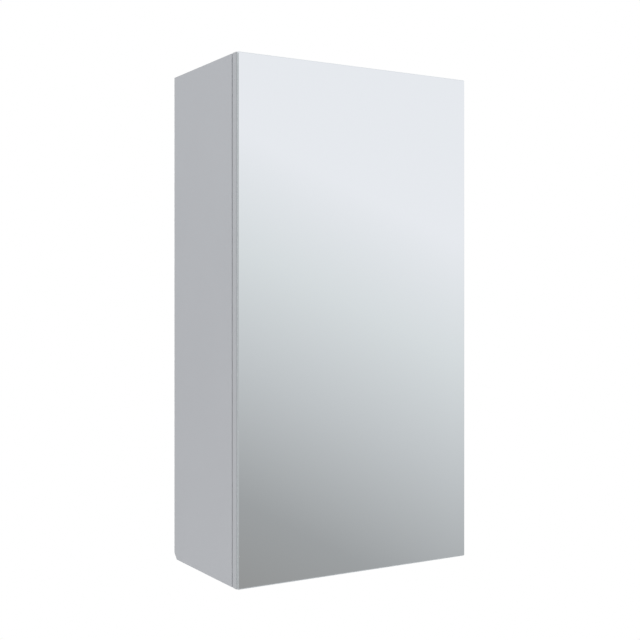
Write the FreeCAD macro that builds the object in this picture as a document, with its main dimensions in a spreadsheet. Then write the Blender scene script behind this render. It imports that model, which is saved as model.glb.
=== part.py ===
import FreeCAD, Part
import os
import re
import Sketcher

# Wall cabinet with a full-face mirror door, hung by two hooks on two wall plates.
# Frame: +X right, +Y into the wall, +Z up, the wall at Y = 0 and the front facing -Y.
# The origin is the centre of the wall screw pattern, on the wall.
# Lengths are millimetres.

SIZES = {
    # Carcass of coated board, its back board held in grooves
    "width": 400,
    "height": 750,
    "carcass_depth": 200,
    "hang_drop": 60,
    "panel": 15,
    "band": 1,
    "back_board": 3,
    "back_recess": 18,
    "groove_reach": 6,
    "corner_clip": 9,
    "fit": 0.05,
    # Cams, bolts and dowels between the panels
    "cam_bore": 15,
    "cam_bore_reach": 12.5,
    "cam_set": 24,
    "cam_front_inset": 35,
    "cam_rear_inset": 60,
    "cam_cap": 1.1,
    "cam_floor_gap": 0.2,
    "cam_slot": 8,
    "bolt": 6,
    "bolt_bite": 10.5,
    "bolt_head_reach": 3,
    "bolt_bore": 7.4,
    "dowel": 8,
    "dowel_length": 30,
    "dowel_bite": 10,
    # Cross recess of every screw, measured across the cross
    "recess_span": 4,
    "recess_bar": 1,
    "recess_reach": 1,
    # Door board, glue tape and mirror
    "door_gap": 2,
    "door_board": 12,
    "door_edge_round": 1,
    "tape": 1,
    "tape_inset": 3,
    "tape_width": 20,
    "glass": 4,
    "glass_arris": 1.5,
    "bumper": 8,
    "bumper_reach": 1.6,
    # Hinges: cup, pivot pin, arm and plate
    "hinge_end_inset": 100,
    "cup": 35,
    "cup_set": 22.5,
    "cup_reach": 11,
    "cup_wall": 0.8,
    "cup_floor": 0.7,
    "flange": 1.2,
    "flange_rim": 1,
    "flange_nose": 14,
    "wing_half": 6,
    "wing_end": 6,
    "cup_screw_set": 6,
    "cup_screw_span": 48,
    "cup_screw": 3.5,
    "cup_screw_head": 6.6,
    "cup_screw_length": 10,
    "pivot_inset": 6,
    "pivot_reach": 7.5,
    "pin": 3,
    "eye": 4.8,
    "eye_gap": 0.4,
    "ear": 2,
    "ear_side_gap": 0.3,
    "ear_length": 9.4,
    "ear_crest": 1.4,
    "arm_width": 12,
    "arm_steel": 2,
    "arm_standoff": 1,
    "arm_jog_set": 5,
    "arm_end_set": 60,
    "plate": 6,
    "plate_half": 8,
    "plate_front_set": 10,
    "plate_rear_set": 58,
    "plate_wing": 2.5,
    "plate_wing_half": 7,
    "plate_wing_end": 7,
    "system_row": 37,
    "system_pitch": 32,
    "plate_screw": 4,
    "plate_screw_head": 7,
    "plate_screw_head_reach": 2,
    "plate_screw_bite": 10,
    "arm_screw": 4,
    "arm_screw_head": 7,
    "arm_screw_head_reach": 2,
    "arm_screw_bite": 4,
    "arm_screw_front_set": 18,
    "arm_screw_rear_set": 50,
    # Push latch on the free side
    "latch_drop": 375,
    "latch_size": 14,
    "latch_length": 78,
    "latch_front_set": 3,
    "latch_bore": 10,
    "latch_end_wall": 4,
    "latch_tab": 2.5,
    "latch_tab_half": 15,
    "latch_tab_length": 15,
    "latch_tab_set": 35,
    "latch_screw_span": 22,
    "plunger_clearance": 0.1,
    "plunger_length": 49,
    "plunger_front_set": 0.8,
    "tip": 9,
    "tip_reach": 1.5,
    "tip_stem": 4,
    "tip_stem_reach": 4,
    "strike": 16,
    "strike_thick": 1,
    "spring": 8,
    "spring_wire": 0.9,
    "spring_turns": 8,
    # Glass shelves on pins
    "shelf_spacing": 240,
    "shelf_glass": 5,
    "shelf_side_gap": 1.5,
    "shelf_back_gap": 4,
    "shelf_front_set": 17,
    "shelf_rest_gap": 0.1,
    "pin_hole": 5,
    "pin_hole_reach": 10,
    "pin_hole_count": 5,
    "pin_rear_row": 60,
    "pin_bite": 9,
    "pin_tab": 2.5,
    "pin_tab_half": 4.5,
    "pin_tab_length": 9,
    "pad": 1,
    "pad_inset": 1,
    # Wall plates, hooks and the housings that hang on them
    "wall_hole_inset": 33,
    "screw_rise": 20,
    "wall_hole": 5.5,
    "wall_steel": 2.5,
    "wall_plate_half": 16,
    "wall_plate_rise": 20,
    "lip_rise": 12,
    "lip_set": 6,
    "hook_steel": 3,
    "hook_half": 6,
    "hook_set": 7,
    "finger": 2.5,
    "finger_gap": 0.5,
    "finger_reach": 8,
    "hook_nose": 7,
    "jack": 5,
    "jack_clearance": 0.1,
    "jack_set": 50,
    "jack_travel": 5,
    "jack_head": 8,
    "jack_head_reach": 3,
    "slot_margin": 1,
    "housing_width": 22,
    "housing_depth": 42,
    "housing_drop": 53,
    "housing_wall": 2,
    "chamber_rise": 19,
    "window_floor": 4,
    "window_depth": 21,
    "fixing": 4,
    "fixing_head": 7,
    "fixing_head_reach": 2,
    "fixing_bite": 9,
    "fixing_set": 10,
    "fixing_low": 8,
    "fixing_pitch": 14,
    # How far a cut runs past the face it starts from
    "overrun": 1,
}

# Lines and planes that several pieces share, written in the sizes above.
PLACES = {
    "half": "width / 2",
    "inner_half": "half - panel",
    "top": "hang_drop",
    "bottom": "hang_drop - height",
    "ceiling": "top - panel",
    "floor": "bottom + panel",
    "front": "-carcass_depth",
    "board_edge": "front + band",
    "back_rear": "-back_recess",
    "back_front": "back_rear - back_board",
    "top_middle": "top - panel / 2",
    "bottom_middle": "bottom + panel / 2",
    "cam_front": "front + cam_front_inset",
    "cam_rear": "-cam_rear_inset",
    "dowel_row": "(cam_front + cam_rear) / 2",
    "cam_row": "inner_half - cam_set",
    "door_back": "front - door_gap",
    "door_front": "door_back - door_board",
    "glass_back": "door_front - tape",
    "glass_front": "glass_back - glass",
    "tape_reach": "tape_inset + tape_width",
    "hinge_upper": "top - hinge_end_inset",
    "hinge_lower": "bottom + hinge_end_inset",
    "pivot_x": "half - pivot_inset",
    "pivot_y": "door_back - pivot_reach",
    "cup_x": "half - cup_set",
    "cup_bottom": "door_back - cup_reach",
    "cup_screw_x": "cup_x - cup_screw_set",
    "knuckle_x": "pivot_x + eye / 2 + eye_gap",
    "ear_inner": "arm_width / 2 + ear_side_gap",
    "ear_outer": "ear_inner + ear",
    "ear_right": "pivot_x + eye / 2",
    "arm_low": "pivot_y - eye / 2",
    "arm_outer": "inner_half - arm_standoff",
    "arm_inner": "arm_outer - arm_steel",
    "arm_jog": "front + arm_jog_set",
    "arm_seat": "inner_half - plate",
    "arm_face": "arm_seat - arm_steel",
    "arm_end": "front + arm_end_set",
    "arm_screw_front": "front + arm_screw_front_set",
    "arm_screw_rear": "front + arm_screw_rear_set",
    "system_front": "front + system_row",
    "latch_z": "top - latch_drop",
    "latch_x": "-inner_half + latch_size / 2",
    "latch_front": "front + latch_front_set",
    "latch_rear": "latch_front + latch_length",
    "latch_tab_y": "front + latch_tab_set",
    "latch_screw_y": "latch_tab_y + latch_tab_length / 2",
    "plunger_front": "front + plunger_front_set",
    "plunger_rear": "plunger_front + plunger_length",
    "spring_rear": "latch_rear - latch_end_wall",
    "shelf_upper_level": "ceiling - shelf_spacing",
    "shelf_lower_level": "shelf_upper_level - shelf_spacing",
    "pin_rear": "-pin_rear_row",
    "wall_x": "half - wall_hole_inset",
    "lip_front": "-lip_set - wall_steel",
    "lip_top": "wall_plate_rise + lip_rise",
    "hook_x": "wall_x + hook_set",
    "hook_top": "lip_top + hook_steel",
    "finger_front": "-lip_set + finger_gap",
    "jack_y": "-jack_set",
    "housing_x": "inner_half - housing_width",
    "housing_front": "back_front - housing_depth",
    "housing_bottom": "ceiling - housing_drop",
    "chamber_top": "ceiling - housing_wall",
    "chamber_floor": "chamber_top - chamber_rise",
    "window_bottom": "housing_bottom + window_floor",
    "window_top": "chamber_floor - window_floor",
    "fixing_y": "back_front - fixing_set",
    "fixing_z": "housing_bottom + fixing_low",
}

# Each sketch plane by the axis that its features run along.
PLANES = {"X": "YZ_Plane", "Y": "XZ_Plane", "Z": "XY_Plane"}
WORD = re.compile("[a-z][a-z_]*")

doc = FreeCAD.newDocument("mirror_cabinet")
pieces = []


def bind(text):
    """Write an expression in sizes and places as one in the cells of the sheet."""
    def cell(match):
        word = match.group()
        if word in PLACES:
            return "(" + bind(PLACES[word]) + ")"
        return "sizes." + word
    return WORD.sub(cell, text)


def fill_sheet():
    """Put every driving size in the sheet, each with its alias."""
    sheet = doc.addObject("Spreadsheet::Sheet", "sizes")
    for row, (alias, value) in enumerate(SIZES.items(), 1):
        sheet.set("A%d" % row, alias)
        sheet.set("B%d" % row, str(value))
        sheet.setAlias("B%d" % row, alias)
    doc.recompute()


def new_piece(label):
    """Start the body of one piece; its label names its file."""
    body = doc.addObject("PartDesign::Body", label)
    body.Label = label
    body.AllowCompound = True
    pieces.append(body)
    return body


def rectangle(low_u, high_u, low_v, high_v):
    """Return the corners of a rectangle in a sketch plane."""
    return [(low_u, low_v), (high_u, low_v), (high_u, high_v), (low_u, high_v)]


def around(u, v, half_u, half_v):
    """Return the corners of a rectangle around a centre."""
    return rectangle(
        "%s - (%s)" % (u, half_u), "%s + (%s)" % (u, half_u),
        "%s - (%s)" % (v, half_v), "%s + (%s)" % (v, half_v))


def circle(u, v, diameter):
    """Return a circle for a sketch: its centre and its diameter."""
    return (u, v, diameter)


def cross_recess(u, v):
    """Return the two bars of a screw's cross recess."""
    long_half = "recess_span / 2"
    short_half = "recess_bar / 2"
    return [around(u, v, long_half, short_half), around(u, v, short_half, long_half)]


def fix_point(sketch, index, vertex, u, v):
    """Tie a sketch point to its place from the origin."""
    for kind, place in (("DistanceX", u), ("DistanceY", v)):
        number = sketch.addConstraint(Sketcher.Constraint(kind, -1, 1, index, vertex, 1.0))
        sketch.setExpression("Constraints[%d]" % number, bind(place))


def draw_circle(sketch, centre_u, centre_v, diameter):
    """Draw a circle tied to the sheet."""
    index = sketch.addGeometry(Part.Circle(FreeCAD.Vector(), FreeCAD.Vector(0, 0, 1), 1))
    number = sketch.addConstraint(Sketcher.Constraint("Diameter", index, 1.0))
    sketch.setExpression("Constraints[%d]" % number, bind(diameter))
    fix_point(sketch, index, 3, centre_u, centre_v)


def draw_outline(sketch, points):
    """Draw a closed outline of straight edges whose corners are tied to the sheet."""
    corners = [FreeCAD.Vector(number, number * number, 0) for number in range(len(points))]
    first = sketch.GeometryCount
    for number, corner in enumerate(corners):
        sketch.addGeometry(Part.LineSegment(corner, corners[(number + 1) % len(corners)]))
    for number in range(len(points)):
        following = first + (number + 1) % len(points)
        sketch.addConstraint(Sketcher.Constraint("Coincident", first + number, 2, following, 1))
    for number, (u, v) in enumerate(points):
        fix_point(sketch, first + number, 1, u, v)


def new_sketch(body, name, axis, loops, offset):
    """Make a sketch square to an axis, at an offset along its plane's normal."""
    sketch = body.newObject("Sketcher::SketchObject", name)
    plane = [item for item in body.Origin.OriginFeatures if item.Role == PLANES[axis]][0]
    sketch.AttachmentSupport = [(plane, "")]
    sketch.MapMode = "FlatFace"
    sketch.setExpression("AttachmentOffset.Base.z", bind(offset))
    for loop in loops:
        if isinstance(loop, tuple):
            draw_circle(sketch, *loop)
        else:
            draw_outline(sketch, loop)
    return sketch


def extrude(kind, body, name, axis, loops, low, high):
    """Pad or pocket the loops between two places along an axis."""
    offset = "-(%s)" % high if axis == "Y" else low
    feature_sketch = new_sketch(body, name + "_outline", axis, loops, offset)
    feature = body.newObject("PartDesign::" + kind, name)
    feature.Profile = feature_sketch
    feature.setExpression("Length", bind("(%s) - (%s)" % (high, low)))
    feature_sketch.Visibility = False
    return feature


def add(body, name, axis, loops, low, high):
    """Add material between two places along an axis."""
    return extrude("Pad", body, name, axis, loops, low, high)


def cut(body, name, axis, loops, low, high):
    """Remove material between two places along an axis."""
    pocket = extrude("Pocket", body, name, axis, loops, low, high)
    pocket.Reversed = True
    return pocket


def mirrored(side, low, high):
    """Return a span along X and its mirror image on the left, lowest first."""
    if side == "left":
        return "-(%s)" % high, "-(%s)" % low
    return low, high


def toward(side, place):
    """Return a place along X on the named side."""
    return "-(%s)" % place if side == "left" else place


def side_panel(side):
    """Side board: back groove, clipped rear corner, pin rows and joint bores."""
    body = new_piece("side_panel_" + side)
    low, high = mirrored(side, "inner_half", "half")
    profile = [
        ("board_edge", "bottom"), ("-corner_clip", "bottom"), ("0", "bottom + corner_clip"),
        ("0", "top"), ("board_edge", "top")]
    add(body, "board", "X", [profile], low, high)
    groove = rectangle("back_front - fit", "back_rear + fit", "bottom - overrun", "top + overrun")
    low, high = mirrored(side, "inner_half - overrun", "inner_half + groove_reach")
    cut(body, "back_groove", "X", [groove], low, high)
    joints = [(place, middle) for place in ("cam_front", "cam_rear")
              for middle in ("top_middle", "bottom_middle")]
    bolts = [circle(place, middle, "bolt + 2 * fit") for place, middle in joints]
    low, high = mirrored(side, "inner_half - overrun", "inner_half + bolt_bite")
    cut(body, "bolt_holes", "X", bolts, low, high)
    dowels = [circle("dowel_row", middle, "dowel + 2 * fit")
              for middle in ("top_middle", "bottom_middle")]
    low, high = mirrored(side, "inner_half - overrun", "inner_half + dowel_bite")
    cut(body, "dowel_holes", "X", dowels, low, high)
    for level in ("shelf_upper_level", "shelf_lower_level"):
        pin_holes(body, side, level)
    screw_holes(body, side)


def pin_centre(level):
    """Height of a shelf pin's centre under a shelf."""
    return "%s - shelf_rest_gap - pad - pin_hole / 2" % level


def pin_holes(body, side, level):
    """Two rows of blind holes around a shelf's height."""
    lowest = pin_centre(level) + " - system_pitch * (pin_hole_count - 1) / 2"
    holes = [circle(row, lowest, "pin_hole + 2 * fit") for row in ("system_front", "pin_rear")]
    low, high = mirrored(side, "inner_half - overrun", "inner_half + pin_hole_reach")
    first = cut(body, level + "_first_pins", "X", holes, low, high)
    rows = body.newObject("PartDesign::LinearPattern", level + "_pin_rows")
    rows.Originals = [first]
    rows.Direction = (first.Profile[0], ["V_Axis"])
    rows.setExpression("Length", bind("system_pitch * (pin_hole_count - 1)"))
    rows.setExpression("Occurrences", bind("pin_hole_count"))
    body.Tip = rows


def screw_holes(body, side):
    """Pilot holes for what is screwed to a side board."""
    low = "inner_half - overrun"
    holes = [circle("fixing_y", "fixing_z" + step, "fixing + 2 * fit")
             for step in ("", " + fixing_pitch")]
    start, end = mirrored(side, low, "inner_half + fixing_bite")
    cut(body, "hanger_pilot_holes", "X", holes, start, end)
    screw = "plate_screw + 2 * fit"
    start, end = mirrored(side, low, "inner_half + plate_screw_bite")
    if side == "right":
        pilots = [circle("system_front", place, screw) for place in plate_screw_heights()]
        cut(body, "hinge_pilot_holes", "X", pilots, start, end)
    else:
        pilots = [circle("latch_screw_y", place, screw) for place in latch_screw_heights()]
        cut(body, "latch_pilot_holes", "X", pilots, start, end)


def plate_screw_heights():
    """Heights of the screws of both hinge plates."""
    return [hinge + step for hinge in ("hinge_upper", "hinge_lower")
            for step in (" - system_pitch / 2", " + system_pitch / 2")]


def latch_screw_heights():
    """Heights of the latch's two screws."""
    return ["latch_z - latch_screw_span / 2", "latch_z + latch_screw_span / 2"]


def cross_panel(name):
    """Top or bottom board between the sides: cam bores, end bores and back groove."""
    body = new_piece(name + "_panel")
    base = rectangle("-inner_half", "inner_half", "board_edge", "0")
    cams = [circle(toward(side, "cam_row"), place, "cam_bore")
            for side in ("left", "right") for place in ("cam_front", "cam_rear")]
    groove = rectangle("-inner_half - overrun", "inner_half + overrun",
                       "back_front - fit", "back_rear + fit")
    middle = name + "_middle"
    if name == "top":
        add(body, "board", "Z", [base], "ceiling", "top")
        cut(body, "cam_bores", "Z", cams, "top - cam_bore_reach", "top + overrun")
        cut(body, "back_groove", "Z", [groove], "ceiling - overrun", "ceiling + groove_reach")
    else:
        add(body, "board", "Z", [base], "bottom", "floor")
        cut(body, "cam_bores", "Z", cams, "bottom - overrun", "bottom + cam_bore_reach")
        cut(body, "back_groove", "Z", [groove], "floor - groove_reach", "floor + overrun")
    bolts = [circle(place, middle, "bolt_bore") for place in ("cam_front", "cam_rear")]
    dowels = [circle("dowel_row", middle, "dowel + 2 * fit")]
    for side in ("left", "right"):
        low, high = mirrored(side, "cam_row", "inner_half + overrun")
        cut(body, side + "_bolt_bores", "X", bolts, low, high)
        low, high = mirrored(side, "inner_half + dowel_bite - dowel_length",
                             "inner_half + overrun")
        cut(body, side + "_dowel_bore", "X", dowels, low, high)


def back_panel():
    """Thin back board in the grooves, with a slot for each hook."""
    body = new_piece("back_panel")
    reach = "groove_reach - fit"
    board = rectangle("-inner_half - %s" % "(%s)" % reach, "inner_half + %s" % "(%s)" % reach,
                      "floor - (%s)" % reach, "ceiling + (%s)" % reach)
    add(body, "board", "Y", [board], "back_front", "back_rear")
    half_slot = "hook_half + slot_margin"
    low = "lip_top - jack_travel - slot_margin"
    high = "hook_top + jack_travel + slot_margin"
    slots = [rectangle("%s - (%s)" % (toward(side, "hook_x"), half_slot),
                       "%s + (%s)" % (toward(side, "hook_x"), half_slot), low, high)
             for side in ("left", "right")]
    cut(body, "hook_slots", "Y", slots, "back_front - overrun", "back_rear + overrun")


def edge_bands():
    """Front edge strips of the four boards."""
    for side in ("left", "right"):
        low, high = mirrored(side, "inner_half", "half")
        body = new_piece("edge_band_" + side)
        add(body, "strip", "Y", [rectangle(low, high, "bottom", "top")], "front", "board_edge")
    for name, low, high in (("top", "ceiling", "top"), ("bottom", "bottom", "floor")):
        body = new_piece("edge_band_" + name)
        strip = rectangle("-inner_half", "inner_half", low, high)
        add(body, "strip", "Y", [strip], "front", "board_edge")


def dowels():
    """Wooden dowels, one in each corner joint."""
    body = new_piece("wood_dowels")
    rods = [circle("dowel_row", middle, "dowel") for middle in ("top_middle", "bottom_middle")]
    for side in ("left", "right"):
        low, high = mirrored(side, "inner_half + dowel_bite - dowel_length",
                             "inner_half + dowel_bite")
        add(body, side + "_dowels", "X", rods, low, high)


def cam_bolts():
    """Bolts screwed into the sides, each with its end inside a cam."""
    body = new_piece("cam_bolts")
    rods = [circle(place, middle, "bolt") for place in ("cam_front", "cam_rear")
            for middle in ("top_middle", "bottom_middle")]
    for side in ("left", "right"):
        low, high = mirrored(side, "cam_row - bolt_head_reach", "inner_half + bolt_bite")
        add(body, side + "_bolts", "X", rods, low, high)


def cams():
    """Cam locks in their bores and the flush caps over them."""
    locks = new_piece("cam_locks")
    caps = new_piece("cam_caps")
    centres = [(side, toward(side, "cam_row"), place)
               for side in ("left", "right") for place in ("cam_front", "cam_rear")]
    discs = [circle(u, v, "cam_bore - 2 * fit") for side, u, v in centres]
    crosses = [bar for side, u, v in centres for bar in cross_recess(u, v)]
    seats = (
        ("top", "top - cam_bore_reach + cam_floor_gap", "top - cam_cap", "top - cam_cap", "top",
         "top - cam_cap - recess_reach", "top - cam_cap + overrun"),
        ("bottom", "bottom + cam_cap", "bottom + cam_bore_reach - cam_floor_gap", "bottom",
         "bottom + cam_cap", "bottom + cam_cap - overrun", "bottom + cam_cap + recess_reach"))
    for name, low, high, cap_low, cap_high, cross_low, cross_high in seats:
        add(locks, name + "_cams", "Z", discs, low, high)
        for number, bar in enumerate(crosses):
            cut(locks, "%s_recess_%d" % (name, number), "Z", [bar], cross_low, cross_high)
        add(caps, name + "_caps", "Z", discs, cap_low, cap_high)
        slots = [around(place, name + "_middle", "cam_slot / 2", "cam_slot / 2")
                 for place in ("cam_front", "cam_rear")]
        for side in ("left", "right"):
            slot_low, slot_high = mirrored(
                side, "cam_row - bolt_head_reach - fit", "cam_row + cam_bore / 2 + overrun")
            cut(locks, "%s_%s_bolt_slots" % (name, side), "X", slots, slot_low, slot_high)


def screw_group(body, name, axis, centres, shank, head, spans):
    """Screws of one size: shanks, heads and cross recesses along an axis."""
    shank_low, shank_high, head_low, head_high, recess_low, recess_high = spans
    add(body, name + "_shanks", axis, [circle(u, v, shank) for u, v in centres],
        shank_low, shank_high)
    add(body, name + "_heads", axis, [circle(u, v, head) for u, v in centres],
        head_low, head_high)
    for number, (u, v) in enumerate(centres):
        for bar_name, bar in zip(("wide", "tall"), cross_recess(u, v)):
            cut(body, "%s_%s_recess_%d" % (name, bar_name, number), axis, [bar],
                recess_low, recess_high)


def side_screws(body, name, side, centres, shank, head, seat, head_reach, bite):
    """Screws driven into a side board, with their heads on a seat inside the cabinet."""
    head_face = "%s - %s" % (seat, head_reach)
    shank_span = mirrored(side, seat, "inner_half + " + bite)
    head_span = mirrored(side, head_face, seat)
    recess_span = mirrored(side, head_face + " - overrun", head_face + " + recess_reach")
    screw_group(body, name, "X", centres, shank, head, shank_span + head_span + recess_span)


def hinge_arm(name):
    """Hinge arm: a bent strip from the pivot eye in the cup to the plate on the side."""
    body = new_piece("hinge_arm_" + name)
    height = "hinge_" + name
    strip = [
        ("pivot_x", "arm_low"), ("arm_inner", "arm_low"), ("arm_inner", "arm_jog"),
        ("arm_face", "arm_jog"), ("arm_face", "arm_end"), ("arm_seat", "arm_end"),
        ("arm_seat", "arm_jog + arm_steel"), ("arm_outer", "arm_jog + arm_steel"),
        ("arm_outer", "arm_low + arm_steel"), ("pivot_x", "arm_low + arm_steel")]
    low = height + " - arm_width / 2"
    high = height + " + arm_width / 2"
    add(body, "strip", "Z", [strip], low, high)
    add(body, "eye", "Z", [circle("pivot_x", "pivot_y", "eye")], low, high)
    cut(body, "pin_bore", "Z", [circle("pivot_x", "pivot_y", "pin + 2 * fit")],
        low + " - overrun", high + " + overrun")
    holes = [circle(place, height, "arm_screw + 2 * fit")
             for place in ("arm_screw_front", "arm_screw_rear")]
    cut(body, "screw_holes", "X", holes, "arm_face - overrun", "arm_seat + overrun")


def hinge_plate(name):
    """Cross plate of a hinge, screwed to the side board."""
    body = new_piece("hinge_plate_" + name)
    height = "hinge_" + name
    block = rectangle("front + plate_front_set", "front + plate_rear_set",
                      height + " - plate_half", height + " + plate_half")
    add(body, "block", "X", [block], "arm_seat", "inner_half")
    wing = around("system_front", height, "plate_wing_half", "system_pitch / 2 + plate_wing_end")
    add(body, "wings", "X", [wing], "inner_half - plate_wing", "inner_half")
    holes = [circle("system_front", height + step, "plate_screw + 2 * fit")
             for step in (" - system_pitch / 2", " + system_pitch / 2")]
    cut(body, "screw_holes", "X", holes, "arm_seat - overrun", "inner_half + overrun")
    threads = [circle(place, height, "arm_screw + 2 * fit")
               for place in ("arm_screw_front", "arm_screw_rear")]
    cut(body, "arm_screw_holes", "X", threads, "arm_seat - overrun",
        "arm_seat + arm_screw_bite")


def hinge_screws():
    """Screws of the hinge plates and of the arms on them."""
    body = new_piece("hinge_plate_screws")
    centres = [("system_front", place) for place in plate_screw_heights()]
    side_screws(body, "plate", "right", centres, "plate_screw", "plate_screw_head",
                "inner_half - plate_wing", "plate_screw_head_reach", "plate_screw_bite")
    body = new_piece("hinge_arm_screws")
    centres = [(place, hinge) for place in ("arm_screw_front", "arm_screw_rear")
               for hinge in ("hinge_upper", "hinge_lower")]
    spans = ("arm_face", "arm_seat + arm_screw_bite", "arm_face - arm_screw_head_reach",
             "arm_face", "arm_face - arm_screw_head_reach - overrun",
             "arm_face - arm_screw_head_reach + recess_reach")
    screw_group(body, "arm", "X", centres, "arm_screw", "arm_screw_head", spans)


def flange_outline(height):
    """Outline of a cup's flange: a plate over the cup and a wing for each screw."""
    plate_left = "cup_x - cup / 2 - flange_rim"
    plate_right = "cup_x + flange_nose"
    wing_left = "cup_screw_x - wing_half"
    wing_right = "cup_screw_x + wing_half"
    plate_top = "%s + cup / 2 + flange_rim" % height
    plate_bottom = "%s - cup / 2 - flange_rim" % height
    wing_top = "%s + cup_screw_span / 2 + wing_end" % height
    wing_bottom = "%s - cup_screw_span / 2 - wing_end" % height
    return [
        (plate_left, plate_bottom), (wing_left, plate_bottom), (wing_left, wing_bottom),
        (wing_right, wing_bottom), (wing_right, plate_bottom), (plate_right, plate_bottom),
        (plate_right, plate_top), (wing_right, plate_top), (wing_right, wing_top),
        (wing_left, wing_top), (wing_left, plate_top), (plate_left, plate_top)]


def cup_screw_centres(height):
    """Centres of the two screws of a hinge cup."""
    return [("cup_screw_x", height + step)
            for step in (" - cup_screw_span / 2", " + cup_screw_span / 2")]


def hinge_cup(name):
    """Hinge cup: a pressed steel bowl with a flange and two ears that hold the pin."""
    body = new_piece("hinge_cup_" + name)
    height = "hinge_" + name
    inside = "cup_bottom + fit + cup_floor"
    face = "door_back + flange"
    add(body, "bowl", "Y", [circle("cup_x", height, "cup - 2 * fit")],
        "cup_bottom + fit", "door_back")
    add(body, "flange", "Y", [flange_outline(height)], "door_back", face)
    floor_plate = rectangle("cup_x", "ear_right", height + " - (ear_outer)",
                            height + " + (ear_outer)")
    add(body, "knuckle_floor", "Y", [floor_plate], "cup_bottom + fit", inside)
    cut(body, "hollow", "Y", [circle("cup_x", height, "cup - 2 * cup_wall")],
        inside, face + " + overrun")
    doorway = rectangle("cup_x", "knuckle_x", height + " - (ear_inner)",
                        height + " + (ear_inner)")
    cut(body, "doorway", "Y", [doorway], inside, face + " + overrun")
    ear_low = "cup_bottom + fit"
    ear_top = "pivot_y + pin / 2 + ear_crest"
    ear_plate = rectangle("ear_right - ear_length", "ear_right", ear_low, ear_top)
    add(body, "upper_ear", "Z", [ear_plate], height + " + ear_inner", height + " + ear_outer")
    add(body, "lower_ear", "Z", [ear_plate], height + " - (ear_outer)",
        height + " - (ear_inner)")
    cut(body, "pin_bores", "Z", [circle("pivot_x", "pivot_y", "pin + 2 * fit")],
        height + " - (ear_outer) - overrun", height + " + ear_outer + overrun")
    holes = [circle(u, v, "cup_screw_head + 2 * fit") for u, v in cup_screw_centres(height)]
    cut(body, "screw_seats", "Y", holes, "door_back - overrun", face + " + overrun")


def hinge_pins():
    """Pivot pins, held in the ears of the cups."""
    body = new_piece("hinge_pins")
    for height in ("hinge_upper", "hinge_lower"):
        add(body, height + "_pin", "Z", [circle("pivot_x", "pivot_y", "pin")],
            height + " - (ear_outer)", height + " + ear_outer")


def cup_screws():
    """Flat-headed screws of the hinge cups."""
    body = new_piece("hinge_cup_screws")
    centres = cup_screw_centres("hinge_upper") + cup_screw_centres("hinge_lower")
    face = "door_back + flange"
    spans = (face + " - cup_screw_length", "door_back", "door_back", face,
             face + " - recess_reach", face + " + overrun")
    screw_group(body, "cup", "Y", centres, "cup_screw", "cup_screw_head", spans)


def door_board():
    """Door board with the bores and pockets of the hinge cups."""
    body = new_piece("door_board")
    board = rectangle("-half + band", "half - band", "bottom + band", "top - band")
    add(body, "board", "Y", [board], "door_front", "door_back")
    past = "door_back + overrun"
    for height in ("hinge_upper", "hinge_lower"):
        cut(body, height + "_bore", "Y", [circle("cup_x", height, "cup")], "cup_bottom", past)
        pocket = rectangle("cup_x", "knuckle_x", height + " - (ear_outer) - eye_gap",
                           height + " + ear_outer + eye_gap")
        cut(body, height + "_pocket", "Y", [pocket], "cup_bottom", past)
        pilots = [circle(u, v, "cup_screw + 2 * fit") for u, v in cup_screw_centres(height)]
        cut(body, height + "_pilot_holes", "Y", pilots,
            "door_back + flange - cup_screw_length", past)


def door_bands():
    """Edge strips round the door board, their rear edge broken so that the door clears."""
    for side in ("left", "right"):
        body = new_piece("door_band_" + side)
        inner = toward(side, "half - band")
        outer = toward(side, "half")
        profile = [(inner, "door_front"), (outer, "door_front"),
                   (outer, "door_back - door_edge_round"), (inner, "door_back")]
        add(body, "strip", "Z", [profile], "bottom", "top")
    ends = (("top", "top - band", "top"), ("bottom", "bottom + band", "bottom"))
    for name, inner, outer in ends:
        body = new_piece("door_band_" + name)
        profile = [("door_front", inner), ("door_front", outer),
                   ("door_back - door_edge_round", outer), ("door_back", inner)]
        add(body, "strip", "X", [profile], "-half + band", "half - band")


def mirror():
    """Mirror glass over the whole door and the tape that holds it."""
    body = new_piece("mirror_tape")
    outer = rectangle("-half + tape_inset", "half - tape_inset",
                      "bottom + tape_inset", "top - tape_inset")
    inner = rectangle("-half + tape_reach", "half - tape_reach",
                      "bottom + tape_reach", "top - tape_reach")
    add(body, "frame", "Y", [outer, inner], "glass_back", "door_front")
    middle = rectangle("-half + tape_reach", "half - tape_reach",
                       "(top + bottom) / 2 - tape_width / 2",
                       "(top + bottom) / 2 + tape_width / 2")
    add(body, "cross_strip", "Y", [middle], "glass_back", "door_front")
    body = new_piece("mirror_glass")
    pane = add(body, "pane", "Y", [rectangle("-half", "half", "bottom", "top")],
               "glass_front", "glass_back")
    doc.recompute()
    front = min(range(len(pane.Shape.Faces)),
                key=lambda number: pane.Shape.Faces[number].CenterOfMass.y)
    arris = body.newObject("PartDesign::Chamfer", "arris")
    arris.Base = (pane, ["Face%d" % (front + 1)])
    arris.setExpression("Size", bind("glass_arris"))
    body.Tip = arris


def door_bumpers():
    """Soft pads between the free edge of the door and the carcass."""
    body = new_piece("door_bumpers")
    pads = [circle("-(half - panel / 2)", middle, "bumper")
            for middle in ("top_middle", "bottom_middle")]
    add(body, "pads", "Y", pads, "door_back", "door_back + bumper_reach")


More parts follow.
